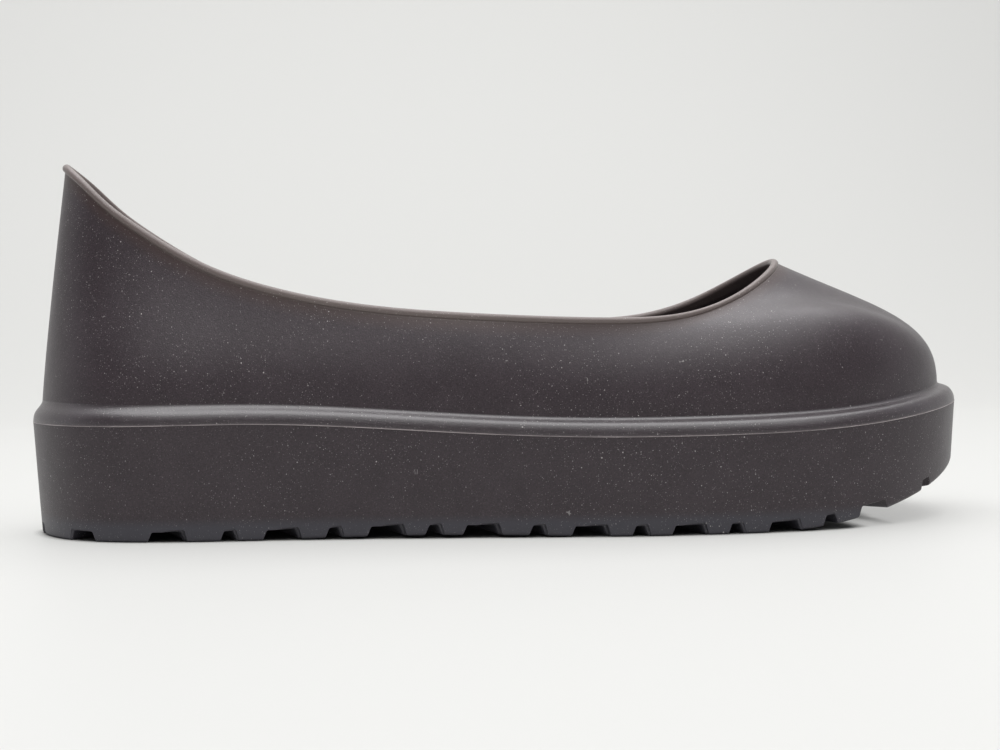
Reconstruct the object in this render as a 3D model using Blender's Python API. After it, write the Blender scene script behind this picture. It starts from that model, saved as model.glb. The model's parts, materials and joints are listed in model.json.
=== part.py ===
"""Moulded rubber overshoe for the right foot: a thin slip-on upper over a deep lugged cup sole.

Metres, +Z up, +X to the toe, +Y to the inner side of the foot, floor at Z = 0.
"""

from collections import namedtuple
from math import cos, pi, radians, sin, tan

import bmesh
import bpy
import numpy as np

MM = 0.001

# Driving sizes of the shoe
LENGTH = 291 * MM
BALL_WIDTH = 109 * MM
HEEL_HEIGHT = 112.5 * MM

# Walls
UPPER_WALL = 2.0 * MM
SOLE_WALL = 3.5 * MM
FLOOR = 3.8 * MM
SEAM_GAP = 0.3 * MM

# Round bead at the foot of the upper
BEAD_REACH_HEEL = 2.9 * MM
BEAD_REACH_TOE = 5.4 * MM
BEAD_REACH_POWER = 4
BEAD_HEIGHT_HEEL = 4.6 * MM
BEAD_HEIGHT_TOE = 5.6 * MM
BEAD_STRAIGHT = 0.2 * MM
BEAD_FILLET = 0.9 * MM

# Rolled rim of the collar
ROLL_RADIUS = 1.25 * MM
ROLL_PROUD = 0.9 * MM
ROLL_RISE = 1.1 * MM

# Sides and tread of the sole
SIDE_DRAFT_DEG = 3.5
SOLE_EDGE_ROUND = 1.0 * MM
TOE_EDGE_ROUND = 1.8 * MM
CAVITY_ROUND = 4.0 * MM
CAP_INSET = 15 * MM
ARCH_RISE = 0.9 * MM
ARCH_FROM = -86 * MM
ARCH_TO = 36 * MM
SPRING_START = 70 * MM
SPRING_RADIUS = 155 * MM
LUG_HEIGHT = 3.0 * MM

# Faceting
RING_STEPS = 84
WALL_STEPS = 9
BEAD_STEPS = 5
ROLL_STEPS = 7

# The plan of the shoe, a row for each cross-section from toe to heel. Columns are shares of half
# the length (x) and of half the ball width (y): the sole's edge and the collar's rim, each on the
# outer and the inner side of the foot.
Section = namedtuple("Section", "name edge_x outer_edge inner_edge rim_x outer_rim inner_rim")
TOE_TIP = Section("toe tip", 1.000, -0.165, 0.165, 0.602, -0.030, 0.030)
SECTIONS = [
    Section("toe corner", 0.976, 0.187, 0.495, 0.579, 0.235, 0.265),
    Section("toe", 0.890, 0.545, 0.735, 0.524, 0.440, 0.455),
    Section("toe joint", 0.730, 0.830, 0.930, 0.445, 0.610, 0.580),
    Section("ball", 0.505, 0.985, 1.000, 0.336, 0.757, 0.675),
    Section("outer ball", 0.268, 1.005, 0.950, 0.184, 0.800, 0.710),
    Section("instep", 0.015, 0.925, 0.855, -0.010, 0.755, 0.680),
    Section("waist", -0.247, 0.825, 0.765, -0.227, 0.665, 0.620),
    Section("seat front", -0.500, 0.765, 0.735, -0.439, 0.600, 0.575),
    Section("heel seat", -0.727, 0.720, 0.710, -0.636, 0.515, 0.505),
    Section("heel corner", -0.892, 0.545, 0.545, -0.798, 0.375, 0.370),
    Section("heel turn", -0.976, 0.245, 0.250, -0.890, 0.230, 0.230),
]
HEEL_BACK = Section("heel back", -1.000, 0.0, 0.0, -0.924, 0.0, 0.0)

# The wall's lean at its foot and at the rim, in degrees from upright towards the foot, and how far
# its curve holds each direction, as shares of its length. A row for each cross-section.
Wall = namedtuple("Wall", "foot_lean rim_lean foot_hold rim_hold")
TOE_TIP_WALL = Wall(1, 67, 0.31, 0.60)
WALLS = [
    Wall(1, 65, 0.33, 0.56),
    Wall(1, 66, 0.50, 0.36),
    Wall(1, 70, 0.66, 0.26),
    Wall(1, 50, 0.66, 0.16),
    Wall(1, 30, 0.50, 0.28),
    Wall(1, 26, 0.42, 0.30),
    Wall(1, 22, 0.38, 0.30),
    Wall(1, 20, 0.36, 0.30),
    Wall(2, 15, 0.34, 0.32),
    Wall(3, 9, 0.33, 0.32),
    Wall(5, 7, 0.33, 0.32),
]
HEEL_BACK_WALL = Wall(5, 7, 0.33, 0.32)

# Heights along the shoe: shares of half the length against shares of the heel's height
Height = namedtuple("Height", "x z")
TOPLINE = [
    Height(-0.924, 1.000),
    Height(-0.882, 0.954),
    Height(-0.829, 0.889),
    Height(-0.767, 0.827),
    Height(-0.707, 0.775),
    Height(-0.618, 0.712),
    Height(-0.500, 0.657),
    Height(-0.350, 0.614),
    Height(-0.172, 0.587),
    Height(0.007, 0.572),
    Height(0.187, 0.563),
    Height(0.307, 0.567),
    Height(0.415, 0.594),
    Height(0.509, 0.646),
    Height(0.602, 0.722),
]
SEAM_LINE = [
    Height(-1.00, 0.301),
    Height(-0.76, 0.300),
    Height(-0.53, 0.301),
    Height(-0.31, 0.288),
    Height(-0.06, 0.267),
    Height(0.15, 0.257),
    Height(0.34, 0.256),
    Height(0.63, 0.265),
    Height(0.80, 0.284),
    Height(0.90, 0.301),
    Height(1.00, 0.320),
]

# Tread grooves where they open on the outer side: a row for each, from the heel
Groove = namedtuple("Groove", "x wide")
GROOVES = [
    Groove(-101.9 * MM, True),
    Groove(-84.2 * MM, False),
    Groove(-69.1 * MM, True),
    Groove(-54.1 * MM, False),
    Groove(-39.2 * MM, True),
    Groove(-25.5 * MM, False),
    Groove(-11.8 * MM, True),
    Groove(4.2 * MM, False),
    Groove(19.2 * MM, True),
    Groove(33.6 * MM, False),
    Groove(47.9 * MM, True),
    Groove(62.0 * MM, False),
    Groove(76.8 * MM, True),
    Groove(91.6 * MM, False),
    Groove(106.5 * MM, True),
]
WIDE_CEILING = 8.0 * MM
NARROW_CEILING = 2.6 * MM
GROOVE_FLARE = 1.15 * MM
SIPE_REACH = 26 * MM
# How far a groove's middle lies behind its ends
CHEVRON = 12 * MM
# Grooves that run in from the rounded ends of the sole: where they open, which way they run, how
# far and how wide
EndGroove = namedtuple("EndGroove", "x y heading reach ceiling")
END_GROOVES = [
    EndGroove(-128.5 * MM, -29.1 * MM, 48, 11 * MM, 7.6 * MM),
    EndGroove(-128.5 * MM, 29.1 * MM, -48, 11 * MM, 7.6 * MM),
    EndGroove(-144.5 * MM, -8 * MM, 12, 17 * MM, 2.6 * MM),
    EndGroove(-144.5 * MM, 8 * MM, -12, 17 * MM, 2.6 * MM),
    EndGroove(126.4 * MM, -33 * MM, 124, 22 * MM, 2.6 * MM),
    EndGroove(143.5 * MM, -6 * MM, 168, 26 * MM, 5.0 * MM),
    EndGroove(142.0 * MM, 26 * MM, -150, 22 * MM, 2.6 * MM),
    EndGroove(128.0 * MM, 42 * MM, -122, 22 * MM, 5.0 * MM),
]

# Finish: colour, roughness and metallic value of the moulded rubber
UPPER_FINISH = ((0.070, 0.058, 0.064), 0.62, 0.0)
SOLE_FINISH = ((0.056, 0.047, 0.054), 0.66, 0.0)


def spline(knots, values, at, closed=False):
    """Cubic spline through the values at the knots, read at the given places.

    A closed one joins its last row to its first, a full turn being 1. An open one ends straight.
    """
    knots = np.asarray(knots, float)
    values = np.asarray(values, float).reshape(len(knots), -1)
    at = np.asarray(at, float)
    if closed:
        knots = np.append(knots, knots[0] + 1.0)
        values = np.vstack([values, values[:1]])
        at = knots[0] + (at - knots[0]) % 1.0
    count = len(knots)
    step = np.diff(knots)
    slope = np.diff(values, axis=0) / step[:, None]
    matrix = np.zeros((count, count))
    right = np.zeros((count, values.shape[1]))
    for i in range(1, count - 1):
        matrix[i, i - 1 : i + 2] = step[i - 1], 2 * (step[i - 1] + step[i]), step[i]
        right[i] = 6 * (slope[i] - slope[i - 1])
    matrix[0, 0] = matrix[-1, -1] = 1
    if closed:
        matrix[0, -1] = -1
        matrix[-1] = 0
        matrix[-1, [0, 1]] = 2 * step[0], step[0]
        matrix[-1, [-2, -1]] = step[-1], 2 * step[-1]
        right[-1] = 6 * (slope[0] - slope[-1])
    bend = np.linalg.solve(matrix, right)
    place = np.clip(np.searchsorted(knots, at, side="right") - 1, 0, count - 2)
    h = step[place][..., None]
    a = (knots[place + 1] - at)[..., None] / h
    b = 1 - a
    return (
        a * values[place]
        + b * values[place + 1]
        + ((a**3 - a) * bend[place] + (b**3 - b) * bend[place + 1]) * h**2 / 6
    )


def height_at(table, x):
    """The height of a line of the shoe's profile at a place along it."""
    knots = [row.x * LENGTH / 2 for row in table]
    heights = [row.z * HEEL_HEIGHT for row in table]
    x = np.clip(x, knots[0], knots[-1])
    return spline(knots, heights, x)[..., 0]


def tread_height(x):
    """The underside: flat at heel and ball, a low arch between, and the toe's spring."""
    arch = np.clip((x - ARCH_FROM) / (ARCH_TO - ARCH_FROM), 0, 1)
    spring = np.maximum(x - SPRING_START, 0) ** 2 / (2 * SPRING_RADIUS)
    return ARCH_RISE * np.sin(pi * arch) ** 2 + spring


def ring_table():
    """Every column of the section tables in ring order: toe, outer side, heel, inner side."""
    half_length, half_width = LENGTH / 2, BALL_WIDTH / 2
    rows = []
    for side in (-1, 1):
        both = list(zip(SECTIONS, WALLS))
        for section, wall in both if side < 0 else reversed(both):
            edge = section.outer_edge if side < 0 else section.inner_edge
            rim = section.outer_rim if side < 0 else section.inner_rim
            rows.append((section.edge_x, side * edge, section.rim_x, side * rim, *wall))
    toe = (TOE_TIP.edge_x, TOE_TIP.inner_edge, TOE_TIP.rim_x, TOE_TIP.inner_rim, *TOE_TIP_WALL)
    heel = (HEEL_BACK.edge_x, 0, HEEL_BACK.rim_x, 0, *HEEL_BACK_WALL)
    rows = np.array([toe, *rows[: len(SECTIONS)], heel, *rows[len(SECTIONS) :]], float)
    rows[:, [0, 2]] *= half_length
    rows[:, [1, 3]] *= half_width
    return rows


def rings(steps):
    """The ring columns read evenly round the sole's edge, and the edge's outward direction."""
    rows = ring_table()
    chords = np.linalg.norm(np.roll(rows[:, :2], -1, axis=0) - rows[:, :2], axis=1)
    knots = np.concatenate([[0], np.cumsum(chords)[:-1]]) / chords.sum()
    turn = np.arange(steps) / steps
    columns = spline(knots, rows, turn, closed=True)
    nudge = 1e-4
    ahead = spline(knots, rows[:, :2], turn + nudge, closed=True)
    behind = spline(knots, rows[:, :2], turn - nudge, closed=True)
    along = ahead - behind
    along /= np.linalg.norm(along, axis=1)[:, None]
    outward = np.stack([-along[:, 1], along[:, 0]], axis=1)
    middle = (columns[:, :2].max(axis=0) + columns[:, :2].min(axis=0)) / 2
    columns[:, :4] -= [*middle, *middle]
    outward *= np.sign((outward * columns[:, :2]).sum())
    return columns, outward


def heel_to_toe(x, at_heel, at_toe):
    """A size that changes evenly along the shoe."""
    return at_heel + (at_toe - at_heel) * (0.5 + x / LENGTH)


def bead_sizes(x):
    """How far the bead stands out from the wall, which grows mostly at the toe, and its height."""
    gained = (BEAD_REACH_TOE - BEAD_REACH_HEEL) * (0.5 + x / LENGTH) ** BEAD_REACH_POWER
    reach = BEAD_REACH_HEEL + gained
    return reach, heel_to_toe(x, BEAD_HEIGHT_HEEL, BEAD_HEIGHT_TOE)


def inset_points(columns, outward, inset, height):
    """The sole's edge moved inwards by inset and set at a height: one point for each ring step."""
    plan = columns[:, :2] - outward * np.reshape(inset, (-1, 1))
    return np.column_stack([plan, np.broadcast_to(height, len(plan))])


def wall_curves(columns, outward, steps):
    """The upper's outer face between bead and rim: a curve of points for each ring step."""
    edge_x = columns[:, 0]
    reach, height = bead_sizes(edge_x)
    foot_height = height_at(SEAM_LINE, edge_x) + height + BEAD_FILLET
    foot = inset_points(columns, outward, reach, foot_height)
    foot_lean, rim_lean = np.radians(columns[:, 4]), np.radians(columns[:, 5])
    towards = columns[:, 2:4] - foot[:, :2]
    towards /= np.linalg.norm(towards, axis=1)[:, None]
    foot_way = np.column_stack([towards * np.sin(foot_lean)[:, None], np.cos(foot_lean)])
    rim_way = np.column_stack([towards * np.sin(rim_lean)[:, None], np.cos(rim_lean)])
    below_top = ROLL_RADIUS + ROLL_RISE * np.cos(rim_lean)
    below_top -= (ROLL_RADIUS - ROLL_PROUD) * np.sin(rim_lean)
    rim_height = height_at(TOPLINE, columns[:, 2]) - below_top
    rim = np.column_stack([columns[:, 2:4], rim_height])
    length = np.linalg.norm(rim - foot, axis=1)[:, None]
    first = foot + foot_way * length * columns[:, [6]]
    second = rim - rim_way * length * columns[:, [7]]
    curves = []
    for step in range(steps + 1):
        t = step / steps
        curves.append(
            (1 - t) ** 3 * foot
            + 3 * t * (1 - t) ** 2 * first
            + 3 * t**2 * (1 - t) * second
            + t**3 * rim
        )
    return np.array(curves)


def outward_normals(curves):
    """The outward normal of the wall at each of its points, and the way up at each point."""
    up = np.gradient(curves, axis=0)
    round_ring = np.roll(curves, -1, axis=1) - np.roll(curves, 1, axis=1)
    normal = np.cross(up, round_ring)
    normal /= np.linalg.norm(normal, axis=2)[:, :, None]
    up /= np.linalg.norm(up, axis=2)[:, :, None]
    middle = curves.mean(axis=(0, 1))
    if ((curves - middle) * normal).sum() < 0:
        normal = -normal
    return normal, up


def upper_rings():
    """The upper's closed wall section, as rings from the foot up the outside and down inside."""
    columns, outward = rings(RING_STEPS)
    edge_x = columns[:, 0]
    reach, bead_height = bead_sizes(edge_x)
    seam = height_at(SEAM_LINE, edge_x)
    bead_width = reach - BEAD_FILLET
    result = [inset_points(columns, outward, 0 * edge_x, seam + SEAM_GAP / 2)]
    for step in range(BEAD_STEPS):
        a = pi / 2 * step / BEAD_STEPS
        rise = BEAD_STRAIGHT + (bead_height - BEAD_STRAIGHT) * sin(a)
        result.append(inset_points(columns, outward, bead_width * (1 - cos(a)), seam + rise))
    crown_height = seam + bead_height
    result.append(inset_points(columns, outward, bead_width, crown_height))
    crease_inset = bead_width + BEAD_FILLET * sin(pi / 4)
    crease_height = crown_height + BEAD_FILLET * (1 - cos(pi / 4))
    result.append(inset_points(columns, outward, crease_inset, crease_height))
    wall = wall_curves(columns, outward, WALL_STEPS)
    normal, up = outward_normals(wall)
    result.extend(wall)
    centre = wall[-1] + up[-1] * ROLL_RISE - normal[-1] * (ROLL_RADIUS - ROLL_PROUD)
    for step in range(ROLL_STEPS + 1):
        a = radians(-50) + radians(235) * step / ROLL_STEPS
        result.append(centre + (normal[-1] * cos(a) + up[-1] * sin(a)) * ROLL_RADIUS)
    inner = wall - normal * UPPER_WALL
    result.extend(inner[-2::-1])
    step_in = inset_points(columns, outward, 0.55 * (reach + UPPER_WALL) + 0.45 * SOLE_WALL, 0)
    step_in[:, 2] = seam + 0.45 * bead_height
    result.append(step_in)
    result.append(inset_points(columns, outward, SOLE_WALL, seam + SEAM_GAP / 2))
    return np.array(result)


def sole_rings():
    """The cup sole's wall section, as rings from the tread up the outside and down the inside."""
    columns, outward = rings(RING_STEPS)
    edge_x = columns[:, 0]
    seam = height_at(SEAM_LINE, edge_x) - SEAM_GAP / 2
    toe_share = np.clip((edge_x / LENGTH - 0.30) / 0.20, 0, 1) ** 2
    round_off = SOLE_EDGE_ROUND + (TOE_EDGE_ROUND - SOLE_EDGE_ROUND) * toe_share
    draft = (seam - tread_height(edge_x)) * tan(radians(SIDE_DRAFT_DEG))

    def ring(inset, above_tread=None, height=None):
        points = inset_points(columns, outward, inset, 0)
        if height is None:
            points[:, 2] = tread_height(points[:, 0]) + above_tread
        else:
            points[:, 2] = height
        return points

    flat = np.zeros(len(edge_x))
    floor_top = LUG_HEIGHT + FLOOR
    result = [ring(flat + CAP_INSET, 0), ring(draft + round_off, 0)]
    for a in (30, 60, 90):
        inset = draft + round_off * (1 - sin(radians(a)))
        result.append(ring(inset, round_off * (1 - cos(radians(a)))))
    low = result[-1][:, 2]
    for share in (0.35, 0.7):
        result.append(ring(draft * (1 - share), height=low + (seam - low) * share))
    result.append(ring(flat, height=seam))
    result.append(ring(flat + SOLE_WALL, height=seam))
    corner = CAVITY_ROUND
    wall_foot = SOLE_WALL + draft / 2
    floor = ring(wall_foot, floor_top)[:, 2]
    middle = floor + corner + (seam - floor - corner) * 0.5
    result.append(ring(SOLE_WALL + draft / 4, height=middle))
    for a in (0, 45, 90):
        inset = wall_foot + corner * (1 - cos(radians(a)))
        result.append(ring(inset, floor_top + corner * (1 - sin(radians(a)))))
    result.append(ring(flat + CAP_INSET, floor_top))
    return np.array(result)


def loft(name, stack, closed_section, finish):
    """An object whose faces run between the rings of a stack.

    A closed section joins its last ring to its first. An open one is closed at both ends by rungs
    across the shoe, so that the caps follow the spring of the toe.
    """
    mesh = bmesh.new()
    grid = [[mesh.verts.new(point) for point in ring] for ring in stack]
    steps = len(grid[0])
    pairs = list(zip(grid, grid[1:]))
    if closed_section:
        pairs.append((grid[-1], grid[0]))
    for low, high in pairs:
        for i in range(steps):
            j = (i + 1) % steps
            mesh.faces.new((low[i], low[j], high[j], high[i]))
    if not closed_section:
        for ring in (grid[0], grid[-1]):
            for i in range(steps // 2):
                rung = [ring[i], ring[i + 1], ring[-i - 1], ring[-i] if i else ring[0]]
                mesh.faces.new(list(dict.fromkeys(rung)))
    bmesh.ops.recalc_face_normals(mesh, faces=mesh.faces)
    return finished(name, mesh, finish)


def finished(name, mesh, finish):
    """The bmesh as a named object with its material, in the shoe's collection."""
    data = bpy.data.meshes.new(name)
    mesh.to_mesh(data)
    mesh.free()
    colour, roughness, metallic = finish
    material = bpy.data.materials.new(name + "_rubber")
    material.use_nodes = True
    shader = material.node_tree.nodes["Principled BSDF"]
    shader.inputs["Base Color"].default_value = (*colour, 1)
    shader.inputs["Roughness"].default_value = roughness
    shader.inputs["Metallic"].default_value = metallic
    data.materials.append(material)
    data.shade_smooth()
    data.set_sharp_from_angle(angle=radians(35))
    piece = bpy.data.objects.new(name, data)
    bpy.data.collections["overshoe"].objects.link(piece)
    return piece


def groove_cutter(name, path, ceiling):
    """A trapezoid bar along a plan path under the sole: wider at its mouth than at its ceiling."""
    mesh = bmesh.new()
    path = np.array(path, float)
    along = np.gradient(path, axis=0)
    along /= np.linalg.norm(along, axis=1)[:, None]
    across = np.column_stack([-along[:, 1], along[:, 0]])
    below = 1.5 * MM
    mouth = ceiling / 2 + GROOVE_FLARE * (LUG_HEIGHT + below) / LUG_HEIGHT
    profile = [(-mouth, -below), (mouth, -below), (ceiling / 2, LUG_HEIGHT), (-ceiling / 2, LUG_HEIGHT)]
    sections = []
    for point, side in zip(path, across):
        section = []
        for offset, rise in profile:
            x, y = point + side * offset
            section.append(mesh.verts.new((x, y, float(tread_height(x)) + rise)))
        sections.append(section)
    for near, far in zip(sections, sections[1:]):
        for i in range(4):
            j = (i + 1) % 4
            mesh.faces.new((near[i], near[j], far[j], far[i]))
    mesh.faces.new(sections[0])
    mesh.faces.new(sections[-1])
    bmesh.ops.recalc_face_normals(mesh, faces=mesh.faces)
    data = bpy.data.meshes.new(name)
    mesh.to_mesh(data)
    mesh.free()
    cutter = bpy.data.objects.new(name, data)
    cutter.hide_render = True
    cutter.display_type = "WIRE"
    bpy.data.collections["cutters"].objects.link(cutter)


def cut_tread(sole):
    """Wide grooves cross the sole as low chevrons, narrow ones run in from each side."""
    for number, groove in enumerate(GROOVES):
        edge = half_width_at(groove.x)
        beyond = edge + 8 * MM

        def on_chevron(y):
            return groove.x - CHEVRON * (1 - min(abs(y) / edge, 1)), y

        if groove.wide:
            stops = (-beyond, -edge, -edge / 2, 0, edge / 2, edge, beyond)
            groove_cutter(f"groove_{number}", [on_chevron(y) for y in stops], WIDE_CEILING)
            continue
        for side in (-1, 1):
            stops = (side * beyond, side * edge, side * (edge - SIPE_REACH))
            path = [on_chevron(y) for y in stops]
            groove_cutter(f"sipe_{number}_{side}", path, NARROW_CEILING)
    for number, groove in enumerate(END_GROOVES):
        way = np.array([cos(radians(groove.heading)), sin(radians(groove.heading))])
        mouth = np.array([groove.x, groove.y]) - way * 6 * MM
        end = mouth + way * (groove.reach + 6 * MM)
        groove_cutter(f"end_groove_{number}", [mouth, (mouth + end) / 2, end], groove.ceiling)
    cut = sole.modifiers.new("tread", "BOOLEAN")
    cut.operation = "DIFFERENCE"
    cut.solver = "EXACT"
    cut.operand_type = "COLLECTION"
    cut.collection = bpy.data.collections["cutters"]


def half_width_at(x):
    """Half the sole's width at a place along the shoe."""
    places = [row.edge_x * LENGTH / 2 for row in reversed(SECTIONS)]
    widths = [(row.outer_edge + row.inner_edge) / 2 * BALL_WIDTH / 2 for row in reversed(SECTIONS)]
    return float(np.interp(x, places, widths))


def main():
    for old in list(bpy.data.objects):
        bpy.data.objects.remove(old)
    for name in ("overshoe", "cutters"):
        collection = bpy.data.collections.new(name)
        bpy.context.scene.collection.children.link(collection)
    loft("upper", upper_rings(), True, UPPER_FINISH)
    sole = loft("outsole", sole_rings(), False, SOLE_FINISH)
    cut_tread(sole)


main()
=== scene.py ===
import json
from collections import namedtuple
from math import cos, pi, radians, sin, sqrt, tan

import bmesh
import bpy
import numpy as np
from mathutils import Matrix, Vector, noise
from mathutils.bvhtree import BVHTree

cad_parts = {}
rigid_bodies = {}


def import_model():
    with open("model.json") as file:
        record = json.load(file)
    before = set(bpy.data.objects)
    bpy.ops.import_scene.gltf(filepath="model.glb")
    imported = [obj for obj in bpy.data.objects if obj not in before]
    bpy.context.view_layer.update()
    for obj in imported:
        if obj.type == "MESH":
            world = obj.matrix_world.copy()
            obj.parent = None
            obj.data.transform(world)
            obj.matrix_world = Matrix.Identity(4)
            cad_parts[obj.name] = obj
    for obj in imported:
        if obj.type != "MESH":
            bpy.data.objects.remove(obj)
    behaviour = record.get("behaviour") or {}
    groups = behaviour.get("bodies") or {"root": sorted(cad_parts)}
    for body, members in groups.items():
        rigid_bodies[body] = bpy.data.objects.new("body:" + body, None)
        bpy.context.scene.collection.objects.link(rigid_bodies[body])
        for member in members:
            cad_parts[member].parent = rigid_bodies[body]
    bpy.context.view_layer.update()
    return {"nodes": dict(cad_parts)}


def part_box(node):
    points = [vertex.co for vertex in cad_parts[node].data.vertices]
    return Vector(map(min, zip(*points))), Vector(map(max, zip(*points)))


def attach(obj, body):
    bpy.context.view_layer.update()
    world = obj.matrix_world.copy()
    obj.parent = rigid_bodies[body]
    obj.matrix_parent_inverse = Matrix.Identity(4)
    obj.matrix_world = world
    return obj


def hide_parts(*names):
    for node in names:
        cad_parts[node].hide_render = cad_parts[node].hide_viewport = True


# A moulded rubber overshoe for the right foot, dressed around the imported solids: metres, +X to the
# toe, +Y to the inner side of the foot, the floor at Z = 0.
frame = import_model()
print("frame loaded:", sorted(frame["nodes"]))

mm = 0.001
soleLow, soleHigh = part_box("outsole")
floorZ = soleLow.z

# The last. Shares of half the length (x) and of half the ball width (y) for the sole's edge and
# the collar's rim, on the outer and the inner side of the foot, a row for each cross-section.
lastSizes = {"length": 291 * mm, "ballWidth": 109 * mm, "heelHeight": 112.5 * mm}

Section = namedtuple("Section", "name edgeX outerEdge innerEdge rimX outerRim innerRim")
toeTip = Section("toe tip", 1.000, -0.165, 0.165, 0.602, -0.030, 0.030)
sections = [
    Section("toe corner", 0.976, 0.187, 0.495, 0.579, 0.235, 0.265),
    Section("toe", 0.890, 0.545, 0.735, 0.524, 0.440, 0.455),
    Section("toe joint", 0.730, 0.830, 0.930, 0.445, 0.610, 0.580),
    Section("ball", 0.505, 0.985, 1.000, 0.336, 0.757, 0.675),
    Section("outer ball", 0.268, 1.005, 0.950, 0.184, 0.800, 0.710),
    Section("instep", 0.015, 0.925, 0.855, -0.010, 0.755, 0.680),
    Section("waist", -0.247, 0.825, 0.765, -0.227, 0.665, 0.620),
    Section("seat front", -0.500, 0.765, 0.735, -0.439, 0.600, 0.575),
    Section("heel seat", -0.727, 0.720, 0.710, -0.636, 0.515, 0.505),
    Section("heel corner", -0.892, 0.545, 0.545, -0.798, 0.375, 0.370),
    Section("heel turn", -0.976, 0.245, 0.250, -0.890, 0.230, 0.230),
]
heelBack = Section("heel back", -1.000, 0.0, 0.0, -0.924, 0.0, 0.0)

# Lean of the wall at its foot and at the rim, in degrees, and how far its curve holds each
# direction, a row for each cross-section
Wall = namedtuple("Wall", "footLean rimLean footHold rimHold")
toeTipWall = Wall(1, 67, 0.31, 0.60)
walls = [
    Wall(1, 65, 0.33, 0.56),
    Wall(1, 66, 0.50, 0.36),
    Wall(1, 70, 0.66, 0.26),
    Wall(1, 50, 0.66, 0.16),
    Wall(1, 30, 0.50, 0.28),
    Wall(1, 26, 0.42, 0.30),
    Wall(1, 22, 0.38, 0.30),
    Wall(1, 20, 0.36, 0.30),
    Wall(2, 15, 0.34, 0.32),
    Wall(3, 9, 0.33, 0.32),
    Wall(5, 7, 0.33, 0.32),
]
heelBackWall = Wall(5, 7, 0.33, 0.32)

# Heights along the shoe: shares of half the length against shares of the heel's height
Height = namedtuple("Height", "x z")
topLine = [
    Height(-0.924, 1.000),
    Height(-0.882, 0.954),
    Height(-0.829, 0.889),
    Height(-0.767, 0.827),
    Height(-0.707, 0.775),
    Height(-0.618, 0.712),
    Height(-0.500, 0.657),
    Height(-0.350, 0.614),
    Height(-0.172, 0.587),
    Height(0.007, 0.572),
    Height(0.187, 0.563),
    Height(0.307, 0.567),
    Height(0.415, 0.594),
    Height(0.509, 0.646),
    Height(0.602, 0.722),
]
seamLine = [
    Height(-1.00, 0.301),
    Height(-0.76, 0.300),
    Height(-0.53, 0.301),
    Height(-0.31, 0.288),
    Height(-0.06, 0.267),
    Height(0.15, 0.257),
    Height(0.34, 0.256),
    Height(0.63, 0.265),
    Height(0.80, 0.284),
    Height(0.90, 0.301),
    Height(1.00, 0.320),
]


# Natural cubic through the values at the knots, or a ring whose full turn is 1 when closed
def spline(knots, values, at, closed=False):
    knots = np.asarray(knots, float)
    values = np.asarray(values, float).reshape(len(knots), -1)
    at = np.asarray(at, float)
    if closed:
        knots = np.append(knots, knots[0] + 1.0)
        values = np.vstack([values, values[:1]])
        at = knots[0] + (at - knots[0]) % 1.0
    count = len(knots)
    step = np.diff(knots)
    slope = np.diff(values, axis=0) / step[:, None]
    matrix = np.zeros((count, count))
    right = np.zeros((count, values.shape[1]))
    for i in range(1, count - 1):
        matrix[i, i - 1:i + 2] = step[i - 1], 2 * (step[i - 1] + step[i]), step[i]
        right[i] = 6 * (slope[i] - slope[i - 1])
    matrix[0, 0] = matrix[-1, -1] = 1
    if closed:
        matrix[0, -1] = -1
        matrix[-1] = 0
        matrix[-1, [0, 1]] = 2 * step[0], step[0]
        matrix[-1, [-2, -1]] = step[-1], 2 * step[-1]
        right[-1] = 6 * (slope[0] - slope[-1])
    bend = np.linalg.solve(matrix, right)
    spot = np.clip(np.searchsorted(knots, at, side="right") - 1, 0, count - 2)
    h = step[spot][..., None]
    a = (knots[spot + 1] - at)[..., None] / h
    b = 1 - a
    curved = (a ** 3 - a) * bend[spot] + (b ** 3 - b) * bend[spot + 1]
    return a * values[spot] + b * values[spot + 1] + curved * h ** 2 / 6


def heightAt(line, x):
    knots = [row.x * lastSizes["length"] / 2 for row in line]
    heights = [row.z * lastSizes["heelHeight"] for row in line]
    return spline(knots, heights, np.clip(x, knots[0], knots[-1]))[..., 0]


# Every column of the tables in ring order: toe, outer side, heel, inner side
def ringTable():
    rows = []
    for side in (-1, 1):
        both = list(zip(sections, walls))
        for section, wall in both if side < 0 else reversed(both):
            edge = section.outerEdge if side < 0 else section.innerEdge
            rim = section.outerRim if side < 0 else section.innerRim
            rows.append((section.edgeX, side * edge, section.rimX, side * rim, *wall))
    toe = (toeTip.edgeX, toeTip.innerEdge, toeTip.rimX, toeTip.innerRim, *toeTipWall)
    heel = (heelBack.edgeX, 0, heelBack.rimX, 0, *heelBackWall)
    half = len(sections)
    table = np.array([toe, *rows[:half], heel, *rows[half:]], float)
    table[:, [0, 2]] *= lastSizes["length"] / 2
    table[:, [1, 3]] *= lastSizes["ballWidth"] / 2
    return table


# The columns read evenly round the sole's edge, and the way out of it at each step. The ring is
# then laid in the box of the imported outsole.
def lastRing(steps):
    table = ringTable()
    chords = np.linalg.norm(np.roll(table[:, :2], -1, axis=0) - table[:, :2], axis=1)
    knots = np.concatenate([[0], np.cumsum(chords)[:-1]]) / chords.sum()
    turn = np.arange(steps) / steps
    columns = spline(knots, table, turn, closed=True)
    nudge = 1e-4
    along = spline(knots, table[:, :2], turn + nudge, closed=True)
    along -= spline(knots, table[:, :2], turn - nudge, closed=True)
    along /= np.linalg.norm(along, axis=1)[:, None]
    outward = np.stack([-along[:, 1], along[:, 0]], axis=1)
    low, high = columns[:, :2].min(axis=0), columns[:, :2].max(axis=0)
    boxMiddle = np.array([soleLow.x + soleHigh.x, soleLow.y + soleHigh.y]) / 2
    shift = boxMiddle - (low + high) / 2
    columns[:, :4] += [*shift, *shift]
    outward *= np.sign((outward * (columns[:, :2] - boxMiddle)).sum())
    return columns, outward


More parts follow.
